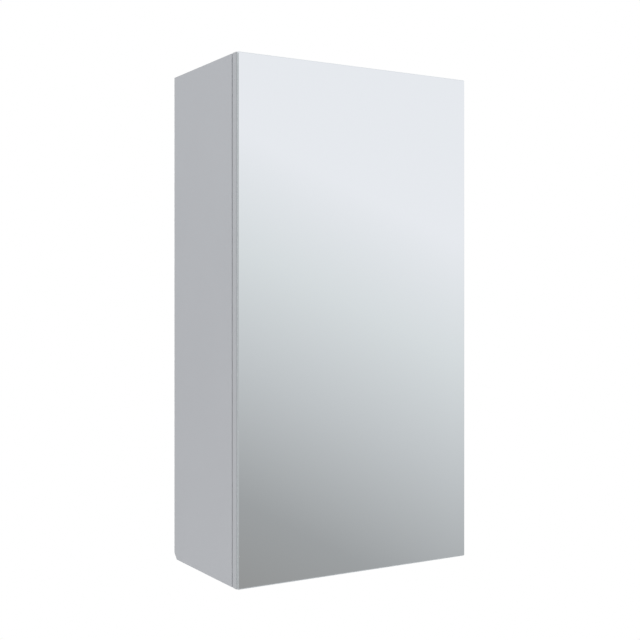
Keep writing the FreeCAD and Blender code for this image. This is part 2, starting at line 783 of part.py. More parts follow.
def latch():
    """Push latch: housing, screws, spring, plunger with its tip, and strike on the door."""
    body = new_piece("latch_housing")
    block = around("latch_x", "latch_z", "latch_size / 2", "latch_size / 2")
    add(body, "block", "Y", [block], "latch_front", "latch_rear")
    tabs = rectangle("latch_tab_y", "latch_tab_y + latch_tab_length",
                     "latch_z - latch_tab_half", "latch_z + latch_tab_half")
    add(body, "tabs", "X", [tabs], "-inner_half", "-inner_half + latch_tab")
    cut(body, "bore", "Y", [circle("latch_x", "latch_z", "latch_bore")],
        "latch_front - overrun", "spring_rear")
    centres = [("latch_screw_y", place) for place in latch_screw_heights()]
    holes = [circle(u, v, "plate_screw + 2 * fit") for u, v in centres]
    cut(body, "screw_holes", "X", holes, "-inner_half - overrun",
        "-inner_half + latch_tab + overrun")
    screws = new_piece("latch_screws")
    side_screws(screws, "latch", "left", centres, "plate_screw", "plate_screw_head",
                "inner_half - latch_tab", "plate_screw_head_reach", "plate_screw_bite")
    plunger = new_piece("latch_plunger")
    rod = circle("latch_x", "latch_z", "latch_bore - 2 * plunger_clearance")
    add(plunger, "rod", "Y", [rod], "plunger_front", "plunger_rear")
    cut(plunger, "tip_socket", "Y", [circle("latch_x", "latch_z", "tip_stem + 2 * fit")],
        "plunger_front - overrun", "plunger_front + tip_stem_reach")
    tip = new_piece("latch_tip")
    add(tip, "stem", "Y", [circle("latch_x", "latch_z", "tip_stem")],
        "plunger_front", "plunger_front + tip_stem_reach - fit")
    add(tip, "button", "Y", [circle("latch_x", "latch_z", "tip")],
        "plunger_front - tip_reach", "plunger_front")
    strike = new_piece("latch_strike")
    add(strike, "disc", "Y", [circle("latch_x", "latch_z", "strike")],
        "door_back", "door_back + strike_thick")


def latch_spring():
    """Coil spring behind the plunger, from the plunger to the housing's end wall."""
    body = new_piece("latch_spring")
    sketch = body.newObject("Sketcher::SketchObject", "wire")
    plane = [item for item in body.Origin.OriginFeatures if item.Role == PLANES["X"]][0]
    sketch.AttachmentSupport = [(plane, "")]
    sketch.MapMode = "FlatFace"
    draw_circle(sketch, "0", "spring / 2 - spring_wire / 2", "spring_wire")
    helix = body.newObject("PartDesign::AdditiveHelix", "coil")
    helix.Profile = sketch
    helix.ReferenceAxis = (sketch, ["H_Axis"])
    helix.Mode = "height-turns-angle"
    helix.setExpression("Height", bind("spring_rear - plunger_rear - 2 * spring_wire"))
    helix.setExpression("Turns", bind("spring_turns"))
    body.setExpression("Placement.Base.x", bind("latch_x"))
    body.setExpression("Placement.Base.y", bind("plunger_rear + spring_wire"))
    body.setExpression("Placement.Base.z", bind("latch_z"))


def shelf(name):
    """Glass shelf with the four pins and the four clear pads that it lies on."""
    level = "shelf_%s_level" % name
    body = new_piece("shelf_" + name)
    pane = rectangle("-inner_half + shelf_side_gap", "inner_half - shelf_side_gap",
                     "front + shelf_front_set", "back_front - shelf_back_gap")
    add(body, "pane", "Z", [pane], level, level + " + shelf_glass")
    pins = new_piece("shelf_pins_" + name)
    pads = new_piece("shelf_pads_" + name)
    pad_top = level + " - shelf_rest_gap"
    tab_top = pad_top + " - pad"
    rows = ("system_front", "pin_rear")
    stubs = [circle(row, pin_centre(level), "pin_hole") for row in rows]
    for side in ("left", "right"):
        low, high = mirrored(side, "inner_half", "inner_half + pin_bite")
        add(pins, side + "_stubs", "X", stubs, low, high)
        low, high = mirrored(side, "inner_half - pin_tab_length", "inner_half")
        tabs = [rectangle(low, high, row + " - pin_tab_half", row + " + pin_tab_half")
                for row in rows]
        add(pins, side + "_tabs", "Z", tabs, tab_top + " - pin_tab", tab_top)
        low, high = mirrored(side, "inner_half - pin_tab_length + pad_inset",
                             "inner_half - pad_inset")
        seats = [rectangle(low, high, row + " - (pin_tab_half - pad_inset)",
                           row + " + (pin_tab_half - pad_inset)") for row in rows]
        add(pads, side + "_pads", "Z", seats, tab_top, pad_top)


def wall_plate(side):
    """Wall plate: a steel strip with two screw holes and a lip that stands off the wall."""
    body = new_piece("wall_plate_" + side)
    profile = [
        ("0", "-wall_plate_rise"), ("0", "wall_plate_rise"), ("-lip_set", "wall_plate_rise"),
        ("-lip_set", "lip_top"), ("lip_front", "lip_top"),
        ("lip_front", "wall_plate_rise - wall_steel"),
        ("-wall_steel", "wall_plate_rise - wall_steel"), ("-wall_steel", "-wall_plate_rise")]
    low, high = mirrored(side, "wall_x - wall_plate_half", "wall_x + wall_plate_half")
    add(body, "strip", "X", [profile], low, high)
    holes = [circle(toward(side, "wall_x"), place, "wall_hole")
             for place in ("-screw_rise / 2", "screw_rise / 2")]
    cut(body, "screw_holes", "Y", holes, "-wall_steel - overrun", "overrun")


def hanger_hook(side):
    """Hook over a plate's lip, with a threaded eye on the jack screw in the housing."""
    body = new_piece("hanger_hook_" + side)
    finger_back = "finger_front + finger"
    profile = [
        (finger_back, "hook_top"), ("jack_y - hook_nose", "hook_top"),
        ("jack_y - hook_nose", "lip_top"), ("finger_front", "lip_top"),
        ("finger_front", "lip_top - finger_reach"), (finger_back, "lip_top - finger_reach")]
    low, high = mirrored(side, "hook_x - hook_half", "hook_x + hook_half")
    add(body, "strip", "X", [profile], low, high)
    eye = circle(toward(side, "hook_x"), "jack_y", "jack + 2 * jack_clearance")
    cut(body, "eye", "Z", [eye], "lip_top - overrun", "hook_top + overrun")


def hanger_housing(side):
    """Housing in an upper rear corner: hook chamber, window and jack screw bores."""
    body = new_piece("hanger_housing_" + side)
    low, high = mirrored(side, "housing_x", "inner_half")
    block = rectangle(low, high, "housing_bottom", "ceiling")
    add(body, "block", "Y", [block], "housing_front", "back_front")
    low, high = mirrored(side, "housing_x + housing_wall", "inner_half - housing_wall")
    chamber = rectangle(low, high, "chamber_floor", "chamber_top")
    cut(body, "hook_chamber", "Y", [chamber], "housing_front + housing_wall",
        "back_front + overrun")
    window = rectangle(low, high, "window_bottom", "window_top")
    cut(body, "window", "Y", [window], "housing_front - overrun",
        "housing_front + window_depth")
    bore = circle(toward(side, "hook_x"), "jack_y", "jack + 2 * fit")
    cut(body, "jack_bore", "Z", [bore], "housing_bottom - overrun", "chamber_top")
    low, high = mirrored(side, "housing_x - overrun", "inner_half + overrun")
    holes = [circle("fixing_y", "fixing_z" + step, "fixing + 2 * fit")
             for step in ("", " + fixing_pitch")]
    cut(body, "fixing_holes", "X", holes, low, high)


def hanger_screws():
    """Jack screws that raise the cabinet on its hooks, and the housings' fixing screws."""
    body = new_piece("hanger_jack_screws")
    centres = [(toward(side, "hook_x"), "jack_y") for side in ("left", "right")]
    head = "housing_bottom - jack_head_reach"
    spans = ("housing_bottom", "chamber_top", head, "housing_bottom",
             head + " - overrun", head + " + recess_reach")
    screw_group(body, "jack", "Z", centres, "jack", "jack_head", spans)
    body = new_piece("hanger_fixing_screws")
    centres = [("fixing_y", "fixing_z" + step) for step in ("", " + fixing_pitch")]
    for side in ("left", "right"):
        side_screws(body, side, side, centres, "fixing", "fixing_head", "housing_x",
                    "fixing_head_reach", "fixing_bite")


def build():
    """Make every piece."""
    for side in ("left", "right"):
        side_panel(side)
    for name in ("top", "bottom"):
        cross_panel(name)
    back_panel()
    edge_bands()
    dowels()
    cam_bolts()
    cams()
    for name in ("upper", "lower"):
        hinge_plate(name)
        hinge_arm(name)
        hinge_cup(name)
    hinge_screws()
    hinge_pins()
    cup_screws()
    door_board()
    door_bands()
    mirror()
    door_bumpers()
    latch()
    latch_spring()
    for name in ("upper", "lower"):
        shelf(name)
    for side in ("left", "right"):
        wall_plate(side)
        hanger_hook(side)
        hanger_housing(side)
    hanger_screws()
    doc.recompute()


def check():
    """Stop if a feature failed or a piece has no valid solid."""
    for item in doc.Objects:
        if "Invalid" in item.State or "Error" in item.State:
            raise RuntimeError("failed: " + item.Label)
    for piece in pieces:
        if piece.Shape.isNull() or not piece.Shape.isValid() or not piece.Shape.Solids:
            raise RuntimeError("no valid solid: " + piece.Label)


def export():
    """Write one file for each piece."""
    os.makedirs("parts", exist_ok=True)
    for piece in pieces:
        piece.Shape.exportStep("parts/%s.step" % piece.Label)


fill_sheet()
build()
check()
export()
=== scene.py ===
import math

import bpy
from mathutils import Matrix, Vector


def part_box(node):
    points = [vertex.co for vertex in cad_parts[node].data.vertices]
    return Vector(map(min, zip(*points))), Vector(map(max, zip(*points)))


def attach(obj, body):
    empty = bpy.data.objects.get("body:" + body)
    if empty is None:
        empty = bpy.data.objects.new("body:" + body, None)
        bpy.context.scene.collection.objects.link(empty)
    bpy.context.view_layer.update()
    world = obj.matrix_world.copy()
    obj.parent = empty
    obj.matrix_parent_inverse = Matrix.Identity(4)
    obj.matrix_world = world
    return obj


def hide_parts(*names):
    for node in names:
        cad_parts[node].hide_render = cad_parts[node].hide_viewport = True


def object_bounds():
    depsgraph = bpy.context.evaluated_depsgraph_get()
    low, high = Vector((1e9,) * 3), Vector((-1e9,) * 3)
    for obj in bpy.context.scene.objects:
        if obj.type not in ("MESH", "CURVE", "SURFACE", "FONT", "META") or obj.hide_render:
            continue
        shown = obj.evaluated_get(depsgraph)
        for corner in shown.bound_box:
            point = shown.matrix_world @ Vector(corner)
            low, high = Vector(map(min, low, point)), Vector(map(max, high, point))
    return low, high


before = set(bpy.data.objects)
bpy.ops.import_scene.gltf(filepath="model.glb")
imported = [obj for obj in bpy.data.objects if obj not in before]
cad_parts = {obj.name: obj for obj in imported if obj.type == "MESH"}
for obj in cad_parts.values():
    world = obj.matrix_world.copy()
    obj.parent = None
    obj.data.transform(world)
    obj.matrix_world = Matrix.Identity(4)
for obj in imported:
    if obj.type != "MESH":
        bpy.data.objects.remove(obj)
cad_low, cad_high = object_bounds()

# Side boards of the carcass.
# Particle board, 15 mm thick, faced on both sides with light grey melamine. It is drilled for cams, dowels
# and shelf pins and grooved for the back, and its rear edge and drillings are left raw.
CABINET = "cabinet"
X, Y, Z = 0, 1, 2
BOARD_ARRIS = 0.0004
EASE_STEPS = 2
MERGE_DISTANCE = 0.000005
NEAR = 0.00005
FLAT_ANGLE = math.radians(0.5)
SMOOTH_ANGLE = math.radians(35)
SHARP_ANGLE = math.radians(38)
FLAT_WEIGHT = 100
PATCH_DETAIL = 3
GRAIN_DETAIL = 4
RELIEF_DEPTH = 0.0001
CHIP_SCALE = 900
CHIP_COLOURS = ((0, (0.21, 0.13, 0.070)), (0.45, (0.46, 0.33, 0.19)), (1, (0.60, 0.45, 0.28)))
DUST_SCALE = 1500
DUST_SHADE = 0.35
PIT_STRENGTH = 0.5
PIT_DEPTH = 0.0003
CORE_ROUGHNESS = 0.88


def take_up(piece):
    """Select one piece alone and make it active."""
    bpy.ops.object.select_all(action="DESELECT")
    piece.select_set(True)
    bpy.context.view_layer.objects.active = piece


def cut_piece(node, name):
    """Copy a solid as a new piece, its triangles merged into whole faces."""
    piece = bpy.data.objects.new(name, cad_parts[node].data.copy())
    piece.data.name = name
    piece.data.materials.clear()
    bpy.context.scene.collection.objects.link(piece)
    take_up(piece)
    bpy.ops.mesh.customdata_custom_splitnormals_clear()
    bpy.ops.object.mode_set(mode="EDIT")
    bpy.ops.mesh.select_all(action="SELECT")
    bpy.ops.mesh.remove_doubles(threshold=MERGE_DISTANCE)
    bpy.ops.mesh.dissolve_limited(angle_limit=FLAT_ANGLE)
    bpy.ops.object.mode_set(mode="OBJECT")
    return piece


def smooth_bends(piece):
    """Shade a piece smooth over its bends and keep its flat faces flat."""
    take_up(piece)
    bpy.ops.object.shade_smooth_by_angle(angle=SMOOTH_ANGLE)
    flats = piece.modifiers.new("Flat faces", "WEIGHTED_NORMAL")
    flats.weight = FLAT_WEIGHT
    flats.keep_sharp = True
    bpy.ops.object.modifier_apply(modifier=flats.name)
    return piece


def ease_edges(piece, width):
    """Round all the sharp edges of a piece a little."""
    take_up(piece)
    bevel = piece.modifiers.new("Eased edges", "BEVEL")
    bevel.width = width
    bevel.segments = EASE_STEPS
    bevel.limit_method = "ANGLE"
    bevel.angle_limit = SHARP_ANGLE
    bpy.ops.object.modifier_apply(modifier=bevel.name)
    bpy.ops.object.mode_set(mode="EDIT")
    bpy.ops.mesh.select_all(action="SELECT")
    bpy.ops.mesh.remove_doubles(threshold=MERGE_DISTANCE)
    bpy.ops.mesh.dissolve_degenerate(threshold=MERGE_DISTANCE)
    bpy.ops.object.mode_set(mode="OBJECT")
    return smooth_bends(piece)


def fit_up(piece, body, slot, *nodes):
    """Let a piece move with its body and let it stand for its solids; the name of its finish is not used.
    """
    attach(piece, body)
    if nodes:
        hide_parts(*nodes)


def new_material(name):
    """Start a material and return it, its nodes' tree and its shader."""
    material = bpy.data.materials.new(name)
    material.use_nodes = True
    return material, material.node_tree, material.node_tree.nodes["Principled BSDF"]


def fine_grain_group():
    """Fine grain of a finish: its drift of colour, its uneven gloss and its small relief."""
    group = bpy.data.node_groups.new("Fine grain", "ShaderNodeTree")
    for name, kind in (("Light", "NodeSocketColor"), ("Deep", "NodeSocketColor"),
                       ("Patch Scale", "NodeSocketFloat"), ("Grain Scale", "NodeSocketFloat"),
                       ("Gloss", "NodeSocketFloat"), ("Dull", "NodeSocketFloat"),
                       ("Relief", "NodeSocketFloat"), ("Stretch", "NodeSocketVector")):
        group.interface.new_socket(name, socket_type=kind, in_out="INPUT")
    for name, kind in (("Colour", "NodeSocketColor"), ("Roughness", "NodeSocketFloat"),
                       ("Normal", "NodeSocketVector")):
        group.interface.new_socket(name, socket_type=kind, in_out="OUTPUT")
    given = group.nodes.new("NodeGroupInput")
    result = group.nodes.new("NodeGroupOutput")
    place = group.nodes.new("ShaderNodeTexCoord")
    stretched = group.nodes.new("ShaderNodeVectorMath")
    stretched.operation = "MULTIPLY"
    patches = group.nodes.new("ShaderNodeTexNoise")
    patches.inputs["Detail"].default_value = PATCH_DETAIL
    grain = group.nodes.new("ShaderNodeTexNoise")
    grain.inputs["Detail"].default_value = GRAIN_DETAIL
    tint = group.nodes.new("ShaderNodeMix")
    tint.data_type = "RGBA"
    gloss = group.nodes.new("ShaderNodeMapRange")
    relief = group.nodes.new("ShaderNodeBump")
    relief.inputs["Distance"].default_value = RELIEF_DEPTH
    link = group.links.new
    link(place.outputs["Object"], stretched.inputs[0])
    link(given.outputs["Stretch"], stretched.inputs[1])
    for noise, scale in ((patches, "Patch Scale"), (grain, "Grain Scale")):
        link(stretched.outputs[0], noise.inputs["Vector"])
        link(given.outputs[scale], noise.inputs["Scale"])
    link(patches.outputs["Fac"], tint.inputs["Factor"])
    link(given.outputs["Light"], tint.inputs["A"])
    link(given.outputs["Deep"], tint.inputs["B"])
    link(tint.outputs["Result"], result.inputs["Colour"])
    link(grain.outputs["Fac"], gloss.inputs["Value"])
    link(given.outputs["Gloss"], gloss.inputs["To Min"])
    link(given.outputs["Dull"], gloss.inputs["To Max"])
    link(gloss.outputs["Result"], result.inputs["Roughness"])
    link(grain.outputs["Fac"], relief.inputs["Height"])
    link(given.outputs["Relief"], relief.inputs["Strength"])
    link(relief.outputs["Normal"], result.inputs["Normal"])
    return group


FINE_GRAIN = fine_grain_group()


def finish_of(name, light, deep, patches, grain, gloss, dull, relief, stretch=(1, 1, 1),
              metal=0.0):
    """Make a finish: two close colours, patches and grain per metre, roughness from gloss to dull."""
    material, tree, shader = new_material(name)
    surface = tree.nodes.new("ShaderNodeGroup")
    surface.node_tree = FINE_GRAIN
    for label, value in (("Light", light), ("Deep", deep), ("Patch Scale", patches),
                         ("Grain Scale", grain), ("Gloss", gloss), ("Dull", dull),
                         ("Relief", relief), ("Stretch", stretch)):
        surface.inputs[label].default_value = value
    tree.links.new(surface.outputs["Colour"], shader.inputs["Base Color"])
    tree.links.new(surface.outputs["Roughness"], shader.inputs["Roughness"])
    tree.links.new(surface.outputs["Normal"], shader.inputs["Normal"])
    shader.inputs["Metallic"].default_value = metal
    return material


def colour_stops(tree, stops):
    """Add a colour ramp with the given positions and colours."""
    node = tree.nodes.new("ShaderNodeValToRGB")
    elements = node.color_ramp.elements
    while len(elements) < len(stops):
        elements.new(1)
    for element, (position, colour) in zip(elements, stops):
        element.position = position
        element.color = (*colour, 1)
    return node


def particle_core():
    """Raw particle board: pale and dark wood chips pressed together."""
    material, tree, shader = new_material("Particle core")
    place = tree.nodes.new("ShaderNodeTexCoord")
    chips = tree.nodes.new("ShaderNodeTexVoronoi")
    chips.inputs["Scale"].default_value = CHIP_SCALE
    dust = tree.nodes.new("ShaderNodeTexNoise")
    dust.inputs["Scale"].default_value = DUST_SCALE
    dust.inputs["Detail"].default_value = GRAIN_DETAIL
    woods = colour_stops(tree, CHIP_COLOURS)
    shade = tree.nodes.new("ShaderNodeMix")
    shade.data_type = "RGBA"
    shade.blend_type = "MULTIPLY"
    shade.inputs["Factor"].default_value = DUST_SHADE
    pits = tree.nodes.new("ShaderNodeBump")
    pits.inputs["Strength"].default_value = PIT_STRENGTH
    pits.inputs["Distance"].default_value = PIT_DEPTH
    link = tree.links.new
    link(place.outputs["Object"], chips.inputs["Vector"])
    link(place.outputs["Object"], dust.inputs["Vector"])
    link(chips.outputs["Color"], woods.inputs["Fac"])
    link(woods.outputs["Color"], shade.inputs["A"])
    link(dust.outputs["Color"], shade.inputs["B"])
    link(shade.outputs["Result"], shader.inputs["Base Color"])
    link(chips.outputs["Distance"], pits.inputs["Height"])
    link(pits.outputs["Normal"], shader.inputs["Normal"])
    shader.inputs["Roughness"].default_value = CORE_ROUGHNESS
    return material


MELAMINE = finish_of("Grey melamine", (0.470, 0.478, 0.494, 1), (0.452, 0.460, 0.476, 1),
                     patches=9, grain=1400, gloss=0.36, dull=0.46, relief=0.22)
PARTICLE_CORE = particle_core()


def cut_board(node, name, faced_axes):
    """Cut a board with eased edges, its core left bare except on the faces across some axes."""
    board = ease_edges(cut_piece(node, name), BOARD_ARRIS)
    board.data.materials.append(MELAMINE)
    board.data.materials.append(PARTICLE_CORE)
    low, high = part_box(node)
    for face in board.data.polygons:
        depth = min(min(face.center[axis] - low[axis], high[axis] - face.center[axis])
                    for axis in faced_axes)
        face.material_index = 0 if depth < BOARD_ARRIS + NEAR else 1
    return board


for side in ("left", "right"):
    board = cut_board("side_panel_" + side, "side_board_" + side, (X, Z))
    fit_up(board, CABINET, "carcass_board", "side_panel_" + side)

# Top and bottom boards.
# The same faced board, cut to fit between the sides. It is bored from outside for the cam locks, and from
# its ends for their bolts and the dowels.
for end in ("top", "bottom"):
    board = cut_board(end + "_panel", end + "_board", (Z,))
    fit_up(board, CABINET, "carcass_board", end + "_panel")

# Back board.
# Thin fibreboard slid into grooves in the four boards. Its inner face is coated grey and its rear face is
# the bare brown sheet, with a slot in each upper corner for a hook.
SHEET_EASE = 0.0002
FACING = 0.9
FIBRE_BROWN = finish_of("Brown fibreboard", (0.245, 0.148, 0.084, 1), (0.165, 0.095, 0.052, 1),
                        patches=60, grain=900, gloss=0.62, dull=0.85, relief=0.6)
back = ease_edges(cut_piece("back_panel", "back_board"), SHEET_EASE)
back.data.materials.append(MELAMINE)
back.data.materials.append(FIBRE_BROWN)
for face in back.data.polygons:
    face.material_index = 0 if face.normal.y < -FACING else 1
fit_up(back, CABINET, "back_board", "back_panel")

# Edge strips of the carcass.
# Plastic strip, 1 mm thick, glued to the front edges of the four boards and scraped round along both of
# its long edges.
STRIP_ROUND = 0.0008
ROUND_STEPS = 4
EDGE_STRIP = finish_of("Edge strip", (0.455, 0.462, 0.476, 1), (0.438, 0.446, 0.460, 1),
                       patches=30, grain=2200, gloss=0.40, dull=0.50, relief=0.2)
FRONTWARD = Vector((0, -1, 0))


def lay_block(node, name):
    """Lay a plain block in a solid's box, to be shaped further."""
    low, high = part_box(node)
    bpy.ops.object.select_all(action="DESELECT")
    bpy.ops.mesh.primitive_cube_add(size=1, location=(low + high) / 2, scale=high - low)
    block = bpy.context.object
    block.name = block.data.name = name
    bpy.ops.object.transform_apply(location=True, rotation=True, scale=True)
    return block


def hold_edges(piece, numbers):
    """Enter a piece's edit mode with only the numbered edges selected."""
    take_up(piece)
    bpy.ops.object.mode_set(mode="EDIT")
    bpy.ops.mesh.select_mode(type="EDGE")
    bpy.ops.mesh.select_all(action="DESELECT")
    bpy.ops.object.mode_set(mode="OBJECT")
    for number in numbers:
        piece.data.edges[number].select = True
    bpy.ops.object.mode_set(mode="EDIT")


def edge_strip(node, name, outward):
    """Lay a strip in a solid's place and round the long edges of its outward face."""
    strip = lay_block(node, name)
    points = [point.co.copy() for point in strip.data.vertices]
    reach = max(point.dot(outward) for point in points)
    length = max(strip.dimensions)
    outer_edges = []
    for edge in strip.data.edges:
        start, end = (points[number] for number in edge.vertices)
        outer = min(start.dot(outward), end.dot(outward)) > reach - NEAR
        if outer and (end - start).length > length - NEAR:
            outer_edges.append(edge.index)
    hold_edges(strip, outer_edges)
    bpy.ops.mesh.bevel(offset=STRIP_ROUND, segments=ROUND_STEPS, affect="EDGES")
    bpy.ops.object.mode_set(mode="OBJECT")
    strip.data.materials.append(EDGE_STRIP)
    return smooth_bends(strip)


for end in ("left", "right", "top", "bottom"):
    strip = edge_strip("edge_band_" + end, "front_strip_" + end, FRONTWARD)
    fit_up(strip, CABINET, "edge_strip", "edge_band_" + end)

# Corner joints.
# Fluted beech dowels line up the boards, and steel bolts in zinc cams pull them together. A flush plastic
# cap, dished inside its rim, closes each cam bore.
BEECH = finish_of("Beech", (0.62, 0.43, 0.26, 1), (0.50, 0.33, 0.19, 1), patches=40, grain=500,
                  gloss=0.5, dull=0.65, relief=0.4, stretch=(0.2, 3, 3))
ZINC = finish_of("Zinc", (0.66, 0.67, 0.68, 1), (0.56, 0.57, 0.58, 1), patches=120, grain=1800,
                 gloss=0.30, dull=0.46, relief=0.4, metal=1.0)
CAP_PLASTIC = finish_of("Cap plastic", (0.462, 0.470, 0.486, 1), (0.440, 0.448, 0.462, 1),
                        patches=30, grain=2600, gloss=0.36, dull=0.46, relief=0.3)
MM_PER_METRE = 1000
TURNING_STEPS = 32
CAP_PROFILE = ((7.45, 0), (7.45, 0.8), (7.15, 1.1), (5.9, 1.1), (5.6, 0.95), (0.8, 0.95))
CAM_OUTWARD = 0.161
CAM_ROWS = (-0.165, -0.060)
CAP_FEET = ((0.0589, 1), (-0.6889, -1))
UP = Vector((0, 0, 1))


def turned(name, profile):
    """Turn a piece along Z from rings of radius and height, in millimetres, from its foot up."""
    radius, height = profile[0]
    bpy.ops.object.select_all(action="DESELECT")
    bpy.ops.mesh.primitive_circle_add(vertices=TURNING_STEPS, radius=radius / MM_PER_METRE,
                                      fill_type="NGON", location=(0, 0, 0))
    piece = bpy.context.object
    piece.name = piece.data.name = name
    bpy.ops.object.mode_set(mode="EDIT")
    bpy.ops.mesh.select_mode(type="FACE")
    bpy.ops.mesh.select_all(action="SELECT")
    for next_radius, next_height in profile[1:]:
        rise = (0, 0, (next_height - height) / MM_PER_METRE)
        bpy.ops.mesh.extrude_region_move(TRANSFORM_OT_translate={"value": rise})
        share = next_radius / radius
        bpy.ops.transform.resize(value=(share, share, 1),
                                 center_override=(0, 0, next_height / MM_PER_METRE))
        radius, height = next_radius, next_height
    bpy.ops.mesh.select_all(action="SELECT")
    bpy.ops.mesh.normals_make_consistent(inside=False)
    bpy.ops.object.mode_set(mode="OBJECT")
    return smooth_bends(piece)


def set_out(model, material, places):
    """Copy a model to each place, its top facing the given way, and join the copies."""
    name = model.name
    copies = []
    for spot, facing in places:
        copy = bpy.data.objects.new(name, model.data.copy())
        bpy.context.scene.collection.objects.link(copy)
        copy.location = spot
        copy.rotation_euler = facing.to_track_quat("Z", "Y").to_euler()
        copies.append(copy)
    bpy.data.objects.remove(model)
    take_up(copies[0])
    for copy in copies:
        copy.select_set(True)
    if len(copies) > 1:
        bpy.ops.object.join()
    piece = bpy.context.object
    piece.name = piece.data.name = name
    bpy.ops.object.transform_apply(location=True, rotation=True, scale=True)
    piece.data.materials.append(material)
    return piece


cap_places = [((side * CAM_OUTWARD, row, foot), UP * way)
              for side in (-1, 1) for row in CAM_ROWS for foot, way in CAP_FEET]
caps = set_out(turned("cam_covers", CAP_PROFILE), CAP_PLASTIC, cap_places)
fit_up(caps, CABINET, "cap_plastic", "cam_caps")
for node, material in (("wood_dowels", BEECH), ("cam_bolts", ZINC), ("cam_locks", ZINC)):
    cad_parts[node].material_slots[0].material = material

# Wall plates and hooks.
# Galvanised steel, pressed and bent. The plates are screwed to the wall, and a hook hangs over the lip of
# each and runs through the back board.
WALL_FIXINGS = "wall_fixings"
STEEL_EASE = 0.0003
BEND_ROUND = 0.0009
SHEET_CORNER = 0.002
CORNER_ANGLE = math.radians(60)
ALONG_SHARE = 0.999
LIP_BEND_FROM = 0.017
LIP_BEND_TO = 0.021
PLATE_FOOT = -0.019
PLATE_HEAD = 0.031
HOOK_BEND_Y = -0.006
HOOK_BEND_Z = 0.025
HOOK_END_Y = -0.056
GALVANISED = finish_of("Galvanised steel", (0.68, 0.70, 0.72, 1), (0.54, 0.56, 0.59, 1),
                       patches=260, grain=1200, gloss=0.28, dull=0.46, relief=0.35, metal=1.0)


def everywhere(place):
    """Choose every corner, wherever its middle lies."""
    return True


def round_corners(piece, axis, radius, chosen=everywhere):
    """Round the sharp corners that run along one axis and whose middle is in a chosen place."""
    hold_edges(piece, [])
    bpy.ops.mesh.edges_select_sharp(sharpness=CORNER_ANGLE)
    bpy.ops.object.mode_set(mode="OBJECT")
    points = [point.co.copy() for point in piece.data.vertices]
    corners = []
    for edge in piece.data.edges:
        start, end = (points[number] for number in edge.vertices)
        along = abs((end - start)[axis]) > (end - start).length * ALONG_SHARE
        if edge.select and along and chosen((start + end) / 2):
            corners.append(edge.index)
    hold_edges(piece, corners)
    bpy.ops.mesh.bevel(offset=radius, segments=ROUND_STEPS, affect="EDGES")
    bpy.ops.object.mode_set(mode="OBJECT")
    return piece


for side in ("left", "right"):
    plate = cut_piece("wall_plate_" + side, "plate_" + side)
    plate = round_corners(plate, X, BEND_ROUND, lambda place: LIP_BEND_FROM < place.z < LIP_BEND_TO)
    plate = round_corners(plate, Y, SHEET_CORNER, lambda place: not PLATE_FOOT < place.z < PLATE_HEAD)
    plate = ease_edges(plate, STEEL_EASE)
    plate.data.materials.append(GALVANISED)
    fit_up(plate, WALL_FIXINGS, "galvanised_steel", "wall_plate_" + side)
    hook = cut_piece("hanger_hook_" + side, "hook_" + side)
    hook = round_corners(hook, X, BEND_ROUND,
                         lambda place: place.y > HOOK_BEND_Y and place.z > HOOK_BEND_Z)
    hook = round_corners(hook, Z, SHEET_CORNER, lambda place: place.y < HOOK_END_Y)
    hook = ease_edges(hook, STEEL_EASE)
    hook.data.materials.append(GALVANISED)
    fit_up(hook, WALL_FIXINGS, "galvanised_steel", "hanger_hook_" + side)

# Hanger housings and their screws.
# White moulded housings sit in the upper rear corners, each fixed to its side board by two screws. A jack
# screw, seen through the window, raises or lowers the cabinet on its hook.
MOULDED_ROUND = 0.0012
MOULDED_EASE = 0.0004
HOUSING_INNER_X = 0.164
WHITE_PLASTIC = finish_of("White plastic", (0.75, 0.75, 0.74, 1), (0.71, 0.71, 0.70, 1),
                          patches=30, grain=2400, gloss=0.34, dull=0.44, relief=0.3)
JACK_SCREW = {"length": 54, "shank": 5, "head": 8, "head_height": 3, "pitch": 0.8}
JACK_X = 0.174
JACK_Y = -0.050
JACK_FOOT = 0.043
FIXING_SCREW = {"length": 33, "shank": 4, "head": 7, "head_height": 2, "pitch": 1.4}
FIXING_TIP_X = 0.194
FIXING_Y = -0.031
FIXING_HEIGHTS = (0.0, 0.014)
THREAD_DEPTH_SHARE = 0.35
TIP_SHARE = 0.6
HEAD_SHARES = ((1, 1), (1, 0.5), (0.92, 0.18), (0.7, 0))
HEAD_MIDDLE = 0.2
RECESS_SPAN = 0.004
RECESS_BAR = 0.0009
RECESS_DEPTH = 0.001
QUARTER_TURN = math.radians(90)
DOWN = -UP


def screw(name, length, shank, head, head_height, pitch):
    """Turn a screw, in millimetres, from its tip to its rounded head, and press a cross in it."""
    core = shank / 2
    root = core - pitch * THREAD_DEPTH_SHARE
    bottom = length - head_height
    profile = [(root * TIP_SHARE, 0)]
    height = pitch / 2
    while height < bottom - pitch:
        profile += [(root, height), (core, height + pitch / 2)]
        height += pitch
    profile += [(root, bottom - pitch / 4), (root, bottom)]
    profile += [(head / 2 * outward, length - head_height * below) for outward, below in HEAD_SHARES]
    profile.append((HEAD_MIDDLE, length))
    piece = turned(name, profile)
    for turn in (0, QUARTER_TURN):
        bpy.ops.object.select_all(action="DESELECT")
        bpy.ops.mesh.primitive_cube_add(
            size=1, location=(0, 0, length / MM_PER_METRE), rotation=(0, 0, turn),
            scale=(RECESS_SPAN, RECESS_BAR, RECESS_DEPTH * 2))
        punch = bpy.context.object
        press = piece.modifiers.new("Cross recess", "BOOLEAN")
        press.object = punch
        take_up(piece)
        bpy.ops.object.modifier_apply(modifier=press.name)
        bpy.data.objects.remove(punch)
    return smooth_bends(piece)


